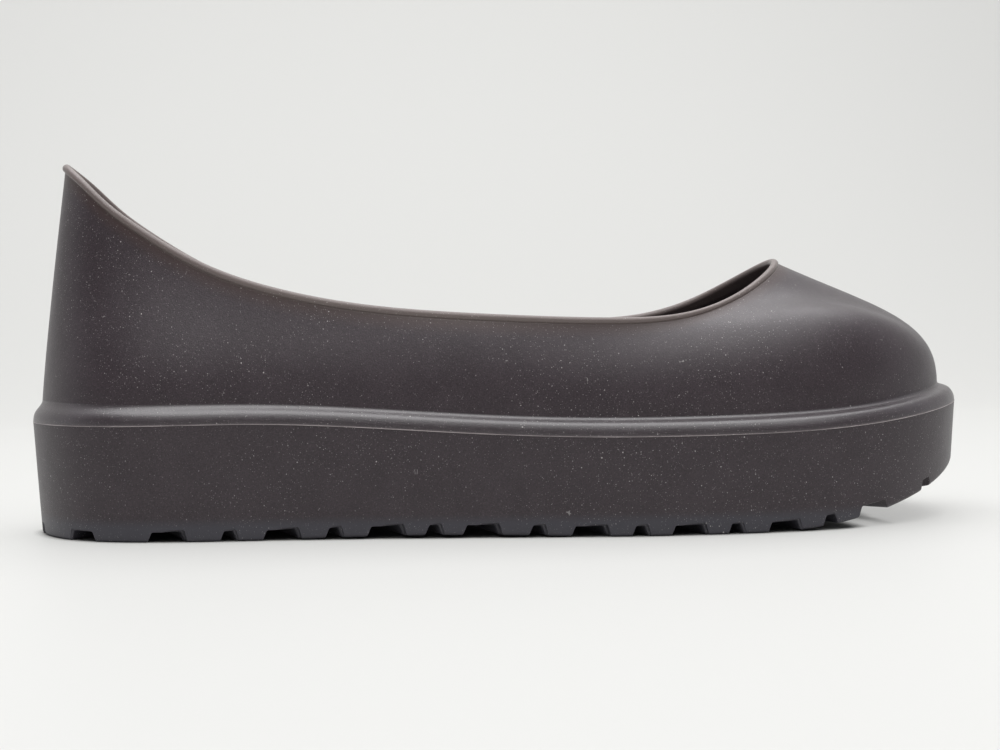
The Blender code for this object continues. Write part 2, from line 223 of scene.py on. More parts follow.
# A size along the shoe: even at power 1, gained mostly at the toe at a higher one
def heelToToe(x, atHeel, atToe, power=1):
    return atHeel + (atToe - atHeel) * (0.5 + x / lastSizes["length"]) ** power


# The sole's edge moved inwards and set at a height, one point for each ring step
def insetPoints(columns, outward, inset, height):
    plan = columns[:, :2] - outward * np.reshape(inset, (-1, 1))
    return np.column_stack([plan, np.broadcast_to(height, len(plan))])


# Slow unevenness of a rubber moulding that has shrunk as it cooled
shrinkage = {"depth": 0.22 * mm, "wave": 34 * mm}


def uneven(points, outward):
    swell = [noise.noise(Vector(point) / shrinkage["wave"]) for point in points]
    moved = points.copy()
    moved[:, :2] += outward * np.array(swell)[:, None] * shrinkage["depth"]
    return moved


# Edges extruded once: the new points, and the new edges between them
def extrudeEdges(mesh, edges):
    grown = bmesh.ops.extrude_edge_only(mesh, edges=edges)["geom"]
    verts = [part for part in grown if isinstance(part, bmesh.types.BMVert)]
    fresh = set(verts)
    rim = [
        part
        for part in grown
        if isinstance(part, bmesh.types.BMEdge) and fresh.issuperset(part.verts)
    ]
    return verts, rim


# A circle is laid on the first ring of points and extruded from ring to ring
def growRings(mesh, rings, marks=None):
    place = mesh.verts.layers.int.new("place")
    layers = {name: mesh.verts.layers.float.new(name) for name in marks or {}}
    circle = bmesh.ops.create_circle(mesh, segments=len(rings[0]), radius=1)["verts"]
    for i, vert in enumerate(circle):
        vert[place] = i
    firstEdges = mesh.edges[:]
    edges, verts = firstEdges, circle
    for number, points in enumerate(rings):
        if number:
            verts, edges = extrudeEdges(mesh, edges)
        for vert in verts:
            vert.co = points[vert[place]]
            for name, layer in layers.items():
                vert[layer] = marks[name][number][vert[place]]
    return firstEdges, edges


def placeMesh(name, mesh, collection):
    data = bpy.data.meshes.new(name)
    mesh.to_mesh(data)
    mesh.free()
    piece = bpy.data.objects.new(name, data)
    collection.objects.link(piece)
    return piece


def finishPiece(name, mesh, material, sharpDegrees):
    piece = placeMesh(name, mesh, bpy.context.scene.collection)
    piece.data.materials.append(material)
    piece.data.shade_smooth()
    piece.data.set_sharp_from_angle(angle=radians(sharpDegrees))
    return piece


# Places of a colour mix's sockets in its lists
mixSockets = {"share": 0, "first": 6, "second": 7, "result": 2}


# sRGB hex text as a linear colour
def linearColour(hexText):
    channels = [int(hexText[i:i + 2], 16) / 255 for i in (1, 3, 5)]
    linear = [c / 12.92 if c <= 0.04045 else ((c + 0.055) / 1.055) ** 2.4 for c in channels]
    return (*linear, 1.0)


# A node with its settings; a socket is given a value, or the socket that feeds it
def addNode(tree, kind, sockets, **settings):
    node = tree.nodes.new("ShaderNode" + kind)
    for name, value in settings.items():
        setattr(node, name, value)
    for name, value in sockets.items():
        if isinstance(value, bpy.types.NodeSocket):
            tree.links.new(value, node.inputs[name])
        else:
            node.inputs[name].default_value = value
    return node


# The scale that gives a pattern a real size in millimetres
def scaleOf(sizeMm):
    return 1000 / sizeMm


# Colours and surface of the moulded rubber. Silicone-like rubber from a satin mould: soft broad
# highlights, no mirror reflections, and it draws pale dust and lint.
upperFinish = {
    "body": "#32292e",
    "mottle": "#362d32",
    "mottleMm": 9,
    "roughness": 0.42,
    "polishSmooth": 0.08,
    "polishSheen": 0.60,
    "dust": "#cfcac8",
    # Paler rolled collar: partly the thinner rubber's own colour, partly a painted highlight
    "collar": "#6a5f5c",
    "collarAbove": -0.2 * mm,
    "collarBelow": 0.7 * mm,
    # Warm painted light under the collar: a tint that stands in for light, strongest just below the
    # rim
    "paintedWarmLight": "#443431",
    "paintedWarmLightShare": 0.75,
    "paintedWarmLightMm": 6,
    "flash": "#b4abab",
}
soleFinish = {
    "body": "#31282d",
    "mottle": "#352c31",
    "mottleMm": 11,
    "roughness": 0.44,
    "dust": "#cac6c6",
    # Painted reflection of the pale floor: the sole paler and bluer towards the floor
    "paintedFloorReflection": "#3c3c44",
    "paintedFloorReflectionShare": 0.8,
    "paintedFloorReflectionTop": 7.5 * mm,
}
# Shared by both: fine grain and a slight orange peel, uneven roughness, and a pale edge as on a
# matt skin
skin = {
    "grainMm": 0.40,
    "grainTone": 0.28,
    "grainHeight": 0.05 * mm,
    "peelMm": 1.6,
    "peelHeight": 0.03 * mm,
    "roughMm": 4.0,
    "roughSpread": 0.10,
    "ior": 1.52,
    "specularLevel": 0.5,
    "sheen": 0.08,
    "sheenRoughness": 0.35,
}
# How dust lies: in patches, its specks bent out of round, rougher and higher than the rubber
dustLook = {
    "patchMm": 38,
    "patchLow": 0.35,
    "patchHigh": 0.62,
    "thinnest": 0.35,
    "bendMm": 0.5,
    "bend": 0.35 * mm,
    "smallest": 0.35,
    "sizeSpread": 0.8,
    "core": 0.6,
    "rim": 1.25,
    "roughness": 0.3,
    "height": 0.04,
}
# Size of the cells that hold a speck each, the speck's own size, how many cells have one, and how
# strongly it shows
Dust = namedtuple("Dust", "cellMm speckMm share strength")
dustTable = [
    Dust(0.6, 0.21, 1.00, 0.42),
    Dust(1.2, 0.29, 0.90, 0.58),
    Dust(3.2, 0.40, 0.65, 0.85),
]
lint = {"curlMm": 3.0, "threadShare": 0.011, "cellMm": 9, "lengthMm": 1.9, "strength": 0.34}


def makeRubber(name, finish, hasCollar):
    material = bpy.data.materials.new(name)
    material.use_nodes = True
    tree = material.node_tree
    shader = tree.nodes["Principled BSDF"]
    place = addNode(tree, "TexCoord", {}).outputs["Object"]

    def math(operation, first, second=0.0):
        return addNode(tree, "Math", {0: first, 1: second}, operation=operation).outputs[0]

    def between(value, low, high, atLow=0.0, atHigh=1.0):
        sockets = {"Value": value, "From Min": low, "From Max": high}
        sockets.update({"To Min": atLow, "To Max": atHigh})
        node = addNode(tree, "MapRange", sockets, interpolation_type="SMOOTHSTEP")
        return node.outputs["Result"]

    def mix(share, first, second, blend="MIX"):
        sockets = {
            mixSockets["share"]: share,
            mixSockets["first"]: first,
            mixSockets["second"]: second,
        }
        node = addNode(tree, "Mix", sockets, data_type="RGBA", blend_type=blend)
        return node.outputs[mixSockets["result"]]

    def noiseAt(sizeMm, detail=2.0):
        sockets = {"Vector": place, "Scale": scaleOf(sizeMm), "Detail": detail}
        return addNode(tree, "TexNoise", sockets).outputs["Fac"]

    # Body colour with slow mottling and a fine grain
    slow = between(noiseAt(finish["mottleMm"], 3.0), 0.35, 0.65)
    colour = mix(slow, linearColour(finish["body"]), linearColour(finish["mottle"]))
    grain = noiseAt(skin["grainMm"])
    tone = between(grain, 0.3, 0.7, 1 - skin["grainTone"], 1 + skin["grainTone"])
    tones = addNode(tree, "CombineXYZ", {0: tone, 1: tone, 2: tone}).outputs[0]
    colour = mix(1.0, colour, tones, "MULTIPLY")

    # Painted colour: the rolled collar is paler, partly its thinner rubber and partly a painted
    # highlight;
    # under it lies a warm painted light; the sole is paler and bluer near the floor, a painted floor
    # reflection
    if hasCollar:
        below = addNode(tree, "Attribute", {}, attribute_name="fromCollar").outputs["Fac"]
        # Warm painted light just below the collar, fading with distance from it
        paintedWarmLight = between(below, 0.0, finish["paintedWarmLightMm"] * mm, finish["paintedWarmLightShare"], 0.0)
        colour = mix(paintedWarmLight, colour, linearColour(finish["paintedWarmLight"]))
        # The rolled collar painted paler: partly the thinner rubber's own colour, partly a painted
        # highlight
        rim = between(below, finish["collarAbove"], finish["collarBelow"], 1.0, 0.0)
        colour = mix(rim, colour, linearColour(finish["collar"]))
        flash = addNode(tree, "Attribute", {}, attribute_name="flash").outputs["Fac"]
        colour = mix(flash, colour, linearColour(finish["flash"]))
    else:
        # The sole painted paler and bluer towards the floor, a painted reflection of the floor on
        # the lugs
        height = addNode(tree, "SeparateXYZ", {"Vector": place}).outputs["Z"]
        low = between(height, 0.5 * finish["paintedFloorReflectionTop"], finish["paintedFloorReflectionTop"], finish["paintedFloorReflectionShare"], 0.0)
        colour = mix(low, colour, linearColour(finish["paintedFloorReflection"]))

    # Dust: one speck in a share of the cells, of a size that varies
    sockets = {"Vector": place, "Scale": scaleOf(dustLook["bendMm"])}
    wander = addNode(tree, "TexNoise", sockets).outputs["Color"]
    centred = addNode(tree, "VectorMath", {0: wander, 1: (0.5, 0.5, 0.5)}, operation="SUBTRACT")
    sockets = {0: centred.outputs[0], "Scale": dustLook["bend"]}
    bend = addNode(tree, "VectorMath", sockets, operation="SCALE").outputs[0]
    ragged = addNode(tree, "VectorMath", {0: place, 1: bend}, operation="ADD").outputs[0]
    patch = noiseAt(dustLook["patchMm"])
    low, high = dustLook["patchLow"], dustLook["patchHigh"]
    patches = between(patch, low, high, dustLook["thinnest"], 1.0)
    dust = 0.0
    for row in dustTable:
        sockets = {"Vector": ragged, "Scale": scaleOf(row.cellMm)}
        cells = addNode(tree, "TexVoronoi", sockets)
        chance = addNode(tree, "SeparateColor", {"Color": cells.outputs["Color"]}).outputs
        radius = math("MULTIPLY_ADD", chance["Red"], dustLook["sizeSpread"])
        radius.node.inputs[2].default_value = dustLook["smallest"]
        reach = math("DIVIDE", cells.outputs["Distance"], radius)
        edge = 0.5 * row.speckMm / row.cellMm
        core, rim = dustLook["core"] * edge, dustLook["rim"] * edge
        speck = between(reach, core, rim, row.strength, 0.0)
        kept = math("LESS_THAN", chance["Green"], row.share)
        dust = math("MAXIMUM", math("MULTIPLY", speck, kept), dust)
    dust = math("MULTIPLY", dust, patches)

    # Lint: short lengths of the level lines of a noise, one in a share of the cells
    level = math("ABSOLUTE", math("SUBTRACT", noiseAt(lint["curlMm"], 0.0), 0.5))
    thread = between(level, 0.5 * lint["threadShare"], lint["threadShare"], 1.0, 0.0)
    cells = addNode(tree, "TexVoronoi", {"Vector": place, "Scale": scaleOf(lint["cellMm"])})
    near = lint["lengthMm"] / lint["cellMm"] / 2
    short = between(cells.outputs["Distance"], 0.7 * near, near, lint["strength"], 0.0)
    dust = math("MAXIMUM", math("MULTIPLY", thread, short), dust)
    colour = mix(dust, colour, linearColour(finish["dust"]))

    # Surface: bead and fillet are polished smoother than the rest
    rough = math("MULTIPLY_ADD", noiseAt(skin["roughMm"]), skin["roughSpread"])
    rough.node.inputs[2].default_value = finish["roughness"] - skin["roughSpread"] / 2
    rough = math("ADD", rough, math("MULTIPLY", dust, dustLook["roughness"]))
    if hasCollar:
        polish = addNode(tree, "Attribute", {}, attribute_name="polished").outputs["Fac"]
        rough = math("SUBTRACT", rough, math("MULTIPLY", polish, finish["polishSmooth"]))
        gloss = math("MULTIPLY_ADD", polish, finish["polishSheen"])
        gloss.node.inputs[2].default_value = skin["specularLevel"]
        tree.links.new(gloss, shader.inputs["Specular IOR Level"])
    peel = math("MULTIPLY", noiseAt(skin["peelMm"], 1.0), skin["peelHeight"] / mm)
    fine = math("MULTIPLY", grain, skin["grainHeight"] / mm)
    relief = math("ADD", math("ADD", peel, fine), math("MULTIPLY", dust, dustLook["height"]))
    bump = addNode(tree, "Bump", {"Height": relief, "Strength": 1.0, "Distance": mm})
    tree.links.new(colour, shader.inputs["Base Color"])
    tree.links.new(rough, shader.inputs["Roughness"])
    tree.links.new(bump.outputs["Normal"], shader.inputs["Normal"])
    shader.inputs["IOR"].default_value = skin["ior"]
    shader.inputs["Sheen Weight"].default_value = skin["sheen"]
    shader.inputs["Sheen Roughness"].default_value = skin["sheenRoughness"]
    return material


# The upper: one wall with a round bead at its foot and a rolled rim at its collar
upperSizes = {
    "ringSteps": 360,
    "wall": 2.0 * mm,
    "wallSteps": 40,
    "beadReachHeel": 2.9 * mm,
    "beadReachToe": 5.4 * mm,
    "beadHeightHeel": 4.1 * mm,
    "beadHeightToe": 4.9 * mm,
    "beadStraight": 0.2 * mm,
    "beadReachPower": 4,
    "beadFillet": 0.9 * mm,
    "filletRise": 1.15 * mm,
    "filletRiseHeel": 1.7 * mm,
    "beadTurn": 46,
    "beadSteps": 12,
    "filletHold": 0.35,
    "filletSteps": 10,
    "rollRadius": 1.25 * mm,
    "rollProud": 0.9 * mm,
    "rollRise": 1.1 * mm,
    "rollFrom": -58,
    "rollTo": 185,
    "rollSteps": 20,
    "innerFade": 0.25,
    "footInset": 3.5 * mm,
    "innerStepRise": 0.45,
    "innerStepShare": 0.45,
    "seamHalfGap": 0.02 * mm,
    "flashProud": 0.14 * mm,
    "flashTall": 0.13 * mm,
    "flashWave": 7 * mm,
    "flashSwell": 60 * mm,
    "flashLeast": 0.15,
    "flashMost": 1.3,
    "sharpDegrees": 42,
}


# How far the bead stands out, its height, and the height of the fillet over it
def beadShape(x):
    sizes = upperSizes
    power = sizes["beadReachPower"]
    reach = heelToToe(x, sizes["beadReachHeel"], sizes["beadReachToe"], power)
    tall = heelToToe(x, sizes["beadHeightHeel"], sizes["beadHeightToe"])
    return reach, tall, sizes["filletRise"] + heelToToe(-x, 0, sizes["filletRiseHeel"], power)


def wallCurves(columns, outward, steps):
    sizes = upperSizes
    edgeX = columns[:, 0]
    reach, tall, filletRise = beadShape(edgeX)
    foot = insetPoints(columns, outward, reach, heightAt(seamLine, edgeX) + tall + filletRise)
    footLean, rimLean = np.radians(columns[:, 4]), np.radians(columns[:, 5])
    towards = columns[:, 2:4] - foot[:, :2]
    towards /= np.linalg.norm(towards, axis=1)[:, None]
    footWay = np.column_stack([towards * np.sin(footLean)[:, None], np.cos(footLean)])
    rimWay = np.column_stack([towards * np.sin(rimLean)[:, None], np.cos(rimLean)])
    belowTop = sizes["rollRadius"] + sizes["rollRise"] * np.cos(rimLean)
    belowTop -= (sizes["rollRadius"] - sizes["rollProud"]) * np.sin(rimLean)
    rim = np.column_stack([columns[:, 2:4], heightAt(topLine, columns[:, 2]) - belowTop])
    length = np.linalg.norm(rim - foot, axis=1)[:, None]
    first = foot + footWay * length * columns[:, [6]]
    second = rim - rimWay * length * columns[:, [7]]
    curves = []
    for step in range(steps + 1):
        t = step / steps
        outer = (1 - t) ** 3 * foot + t ** 3 * rim
        curves.append(outer + 3 * t * (1 - t) ** 2 * first + 3 * t ** 2 * (1 - t) * second)
    return np.array(curves)


def wallNormals(curves):
    up = np.gradient(curves, axis=0)
    roundRing = np.roll(curves, -1, axis=1) - np.roll(curves, 1, axis=1)
    normal = np.cross(up, roundRing)
    normal /= np.linalg.norm(normal, axis=2)[:, :, None]
    up /= np.linalg.norm(up, axis=2)[:, :, None]
    if ((curves - curves.mean(axis=(0, 1))) * normal).sum() < 0:
        normal = -normal
    return normal, up


def makeUpper(material):
    sizes = upperSizes
    columns, outward = lastRing(sizes["ringSteps"])
    edgeX = columns[:, 0]
    reach, tall, filletRise = beadShape(edgeX)
    seam = heightAt(seamLine, edgeX)
    crownInset = reach - sizes["beadFillet"]
    rings, flash, fromCollar, polished = [], [], [], []
    none, full = np.zeros(len(edgeX)), np.ones(len(edgeX))

    def add(points, marked=none, distance=full, polish=none):
        rings.append(points)
        flash.append(marked)
        fromCollar.append(distance)
        polished.append(polish)

    # Thin flash that the mould left at the seam, ragged along its length
    plan = columns[:, :2]
    ragged = np.array([noise.noise(Vector((x, y, 0)) / sizes["flashWave"]) for x, y in plan])
    slow = np.array([noise.noise(Vector((x, y, 9)) / sizes["flashSwell"]) for x, y in plan])
    growth = np.clip(0.75 + 0.5 * ragged + 0.7 * slow, sizes["flashLeast"], sizes["flashMost"])
    proud = sizes["flashProud"] * growth
    lip = seam + sizes["seamHalfGap"]
    show = np.clip(growth, 0, 1)
    add(insetPoints(columns, outward, -proud, lip), show)
    add(insetPoints(columns, outward, -proud, lip + 0.6 * sizes["flashTall"]), show)
    add(insetPoints(columns, outward, 0 * proud, lip + sizes["flashTall"]), 0.4 * show)

    # Bead: part of an oval's quarter
    ovalTall = tall - sizes["beadStraight"]
    top = radians(sizes["beadTurn"])
    for step in range(1, sizes["beadSteps"] + 1):
        a = top * step / sizes["beadSteps"]
        rise = sizes["beadStraight"] + ovalTall * sin(a)
        points = insetPoints(columns, outward, crownInset * (1 - cos(a)), seam + rise)
        add(points, polish=full)

    # Fillet: leaves the bead in its own direction and turns up into the wall
    start = np.array([crownInset * (1 - cos(top)), sizes["beadStraight"] + ovalTall * sin(top)])
    leave = np.array([crownInset * sin(top), ovalTall * cos(top)])
    leave /= np.linalg.norm(leave, axis=0)
    stop = np.array([reach, tall + filletRise])
    span = np.linalg.norm(stop - start, axis=0)
    first = start + leave * sizes["filletHold"] * span
    second = stop - np.array([none, full]) * sizes["filletHold"] * span
    for step in range(1, sizes["filletSteps"]):
        t = step / sizes["filletSteps"]
        ends = (1 - t) ** 3 * start + t ** 3 * stop
        inset, rise = ends + 3 * t * (1 - t) * ((1 - t) * first + t * second)
        add(insetPoints(columns, outward, inset, seam + rise), polish=full)

    # Wall up to the collar, the rolled rim, the inner face down, and the step behind the bead
    wall = wallCurves(columns, outward, sizes["wallSteps"])
    normal, up = wallNormals(wall)
    lengths = np.linalg.norm(np.diff(wall, axis=0), axis=2)
    belowRim = np.vstack([np.cumsum(lengths[::-1], axis=0)[::-1], none])
    for points, distance in zip(wall, belowRim):
        add(points, none, distance)
    proudCentre = sizes["rollRadius"] - sizes["rollProud"]
    centre = wall[-1] + up[-1] * sizes["rollRise"] - normal[-1] * proudCentre
    for step in range(sizes["rollSteps"] + 1):
        share = step / sizes["rollSteps"]
        a = radians(sizes["rollFrom"] + (sizes["rollTo"] - sizes["rollFrom"]) * share)
        spoke = normal[-1] * cos(a) + up[-1] * sin(a)
        add(centre + spoke * sizes["rollRadius"], none, none - mm)
    inner = wall - normal * sizes["wall"]
    for points, distance in zip(inner[-2::-1], belowRim[-2::-1]):
        add(points, none, distance * sizes["innerFade"])
    share = sizes["innerStepShare"]
    stepIn = (1 - share) * (reach + sizes["wall"]) + share * sizes["footInset"]
    add(insetPoints(columns, outward, stepIn, seam + sizes["innerStepRise"] * tall))
    add(insetPoints(columns, outward, none + sizes["footInset"], lip))
    rings = [uneven(points, outward) for points in rings]
    mesh = bmesh.new()
    marks = {"flash": flash, "fromCollar": fromCollar, "polished": polished}
    first, last = growRings(mesh, rings, marks)
    bmesh.ops.bridge_loops(mesh, edges=first + last)
    bmesh.ops.recalc_face_normals(mesh, faces=mesh.faces)
    return finishPiece("upperShell", mesh, material, sizes["sharpDegrees"])


# The sole: a deep cup with drafted sides, rounded lugs and the spring of the toe
soleSizes = {
    "ringSteps": 360,
    "wall": 3.5 * mm,
    "floor": 3.8 * mm,
    "draftDegrees": 3.5,
    "edgeRound": 1.0 * mm,
    "toeEdgeRound": 1.8 * mm,
    "toeFrom": 0.30,
    "toeOver": 0.20,
    "edgeSteps": 6,
    "sideSteps": 10,
    "cavityRound": 4.0 * mm,
    "cavitySteps": 6,
    "capInset": 15 * mm,
    "capShrink": 0.93,
    "capSteps": 5,
    "archRise": 0.9 * mm,
    "archFrom": -86 * mm,
    "archTo": 36 * mm,
    "springStart": 70 * mm,
    "springRadius": 155 * mm,
    "sharpDegrees": 30,
}
treadSizes = {
    "lugHeight": 3.0 * mm,
    "wideCeiling": 8.0 * mm,
    "narrowCeiling": 2.6 * mm,
    "flare": 1.15 * mm,
    "sipeReach": 26 * mm,
    "chevron": 12 * mm,
    "mouthRound": 0.5 * mm,
    "mouthSteps": 4,
    "ceilingRound": 0.35 * mm,
    "sideRound": 0.6 * mm,
    "sideSteps": 5,
    "sideStraightMm": 0.4,
    "below": 1.5 * mm,
    "beyond": 6 * mm,
    "castFrom": 50 * mm,
    "castHeight": 0.55,
}
# Where each groove opens on the outer side, from the heel, and whether it is a wide one
Groove = namedtuple("Groove", "x wide")
grooves = [
    Groove(-101.9 * mm, True),
    Groove(-84.2 * mm, False),
    Groove(-69.1 * mm, True),
    Groove(-54.1 * mm, False),
    Groove(-39.2 * mm, True),
    Groove(-25.5 * mm, False),
    Groove(-11.8 * mm, True),
    Groove(4.2 * mm, False),
    Groove(19.2 * mm, True),
    Groove(33.6 * mm, False),
    Groove(47.9 * mm, True),
    Groove(62.0 * mm, False),
    Groove(76.8 * mm, True),
    Groove(91.6 * mm, False),
    Groove(106.5 * mm, True),
]
# Grooves that run in from the rounded ends: where they open, which way they run, how far, how wide
EndGroove = namedtuple("EndGroove", "x y heading reach ceiling")
endGrooves = [
    EndGroove(-128.5 * mm, -29.1 * mm, 48, 11 * mm, 7.6 * mm),
    EndGroove(-128.5 * mm, 29.1 * mm, -48, 11 * mm, 7.6 * mm),
    EndGroove(-144.5 * mm, -8 * mm, 12, 17 * mm, 2.6 * mm),
    EndGroove(-144.5 * mm, 8 * mm, -12, 17 * mm, 2.6 * mm),
    EndGroove(126.4 * mm, -33 * mm, 124, 22 * mm, 2.6 * mm),
    EndGroove(143.5 * mm, -6 * mm, 168, 26 * mm, 5.0 * mm),
    EndGroove(142.0 * mm, 26 * mm, -150, 22 * mm, 2.6 * mm),
    EndGroove(128.0 * mm, 42 * mm, -122, 22 * mm, 5.0 * mm),
]


# Underside: flat at heel and ball, a low arch between, and the toe's spring
def treadHeight(x):
    sizes = soleSizes
    arch = np.clip((x - sizes["archFrom"]) / (sizes["archTo"] - sizes["archFrom"]), 0, 1)
    spring = np.maximum(x - sizes["springStart"], 0) ** 2 / (2 * sizes["springRadius"])
    return floorZ + sizes["archRise"] * np.sin(pi * arch) ** 2 + spring


def makeSoleBody():
    sizes = soleSizes
    columns, outward = lastRing(sizes["ringSteps"])
    edgeX = columns[:, 0]
    seam = heightAt(seamLine, edgeX) - upperSizes["seamHalfGap"]
    pastBall = edgeX / lastSizes["length"] - sizes["toeFrom"]
    toeShare = np.clip(pastBall / sizes["toeOver"], 0, 1) ** 2
    roundOff = sizes["edgeRound"] + (sizes["toeEdgeRound"] - sizes["edgeRound"]) * toeShare
    draft = (seam - treadHeight(edgeX)) * tan(radians(sizes["draftDegrees"]))
    none = np.zeros(len(edgeX))

    def onTread(inset, above):
        points = insetPoints(columns, outward, inset, 0)
        points[:, 2] = treadHeight(points[:, 0]) + above
        return points

    # From the middle of a cap out to its edge: points of both sides meet on the middle line
    def capRings(edgeRing, above):
        middle = (edgeRing + np.roll(edgeRing[::-1], 1, axis=0)) / 2
        centreX = (middle[:, 0].max() + middle[:, 0].min()) / 2
        middle[:, 0] = centreX + (middle[:, 0] - centreX) * sizes["capShrink"]
        made = []
        for step in range(sizes["capSteps"]):
            share = step / sizes["capSteps"]
            points = middle * (1 - share) + edgeRing * share
            points[:, 2] = treadHeight(points[:, 0]) + above
            made.append(points)
        return made

    floorTop = treadSizes["lugHeight"] + sizes["floor"]
    capEdge = onTread(none + sizes["capInset"], 0)
    rings = capRings(capEdge, 0)
    for share in (0, 0.35, 0.7, 1):
        inset = sizes["capInset"] * (1 - share) + (draft + roundOff) * share
        rings.append(onTread(inset, 0))
    for step in range(1, sizes["edgeSteps"] + 1):
        a = pi / 2 * step / sizes["edgeSteps"]
        points = onTread(draft + roundOff * (1 - sin(a)), roundOff * (1 - cos(a)))
        rings.append(uneven(points, outward))
    low = rings[-1][:, 2]
    for step in range(1, sizes["sideSteps"] + 1):
        share = step / sizes["sideSteps"]
        points = insetPoints(columns, outward, draft * (1 - share), low + (seam - low) * share)
        rings.append(uneven(points, outward))
    rings.append(insetPoints(columns, outward, none + sizes["wall"], seam))
    wallFoot = sizes["wall"] + draft / 2
    corner = sizes["cavityRound"]
    cornerTop = onTread(wallFoot, floorTop)[:, 2] + corner
    for share in (0.33, 0.67):
        height = seam + (cornerTop - seam) * share
        rings.append(insetPoints(columns, outward, sizes["wall"] + draft / 2 * share, height))
    for step in range(sizes["cavitySteps"] + 1):
        a = pi / 2 * step / sizes["cavitySteps"]
        rings.append(onTread(wallFoot + corner * (1 - cos(a)), floorTop + corner * (1 - sin(a))))
    rings.append(onTread(none + sizes["capInset"], floorTop))
    rings.extend(capRings(rings[-1], floorTop)[::-1])
    mesh = bmesh.new()
    growRings(mesh, rings)
    bmesh.ops.remove_doubles(mesh, verts=mesh.verts, dist=0.01 * mm)
    bmesh.ops.recalc_face_normals(mesh, faces=mesh.faces)
    return mesh


# Section of a groove, half of it: offsets from its middle and heights above the tread. It grows
# towards the side of the sole, so that the lug's upright edges are rounded.
def grooveSection(ceiling, growth):
    sizes = treadSizes
    tall = sizes["lugHeight"]
    mouth, corner = sizes["mouthRound"], sizes["ceilingRound"]

    def slant(height):
        return ceiling / 2 + sizes["flare"] * (tall - height) / tall

    half = []
    for step in range(sizes["mouthSteps"] + 1):
        height = mouth * step / sizes["mouthSteps"]
        widening = mouth - sqrt(mouth ** 2 - (mouth - height) ** 2)
        half.append((slant(height) + widening, height))
    half.insert(0, (half[0][0], -sizes["below"]))
    half.append((slant(tall - corner), tall - corner))
    half.append((ceiling / 2 - 0.25 * corner, tall - 0.25 * corner))
    half.append((ceiling / 2 - corner, tall))
    grown = [(offset + growth, height + growth * (height > mouth)) for offset, height in half]
    return grown + [(-offset, height) for offset, height in reversed(grown)]


# Holds the cutters until the sole is cut
cutterCollection = bpy.data.collections.new("cutters")
bpy.context.scene.collection.children.link(cutterCollection)


# A groove's cutter: its section carried along a plan path, its mouths rounded at the side that the
# path leaves through
def grooveCutter(name, stations, ceiling):
    path = np.array([spot for spot, growth in stations], float)
    along = np.gradient(path, axis=0)
    along /= np.linalg.norm(along, axis=1)[:, None]
    across = np.column_stack([-along[:, 1], along[:, 0]])
    rings = []
    for (spot, growth), side in zip(stations, across):
        ring = []
        for offset, height in grooveSection(ceiling, growth):
            x, y = np.array(spot) + side * offset
            ring.append((x, y, float(treadHeight(x)) + height))
        rings.append(np.array(ring))
    mesh = bmesh.new()
    growRings(mesh, rings)
    bmesh.ops.holes_fill(mesh, edges=[edge for edge in mesh.edges if edge.is_boundary])
    bmesh.ops.recalc_face_normals(mesh, faces=mesh.faces)
    placeMesh(name, mesh, cutterCollection)


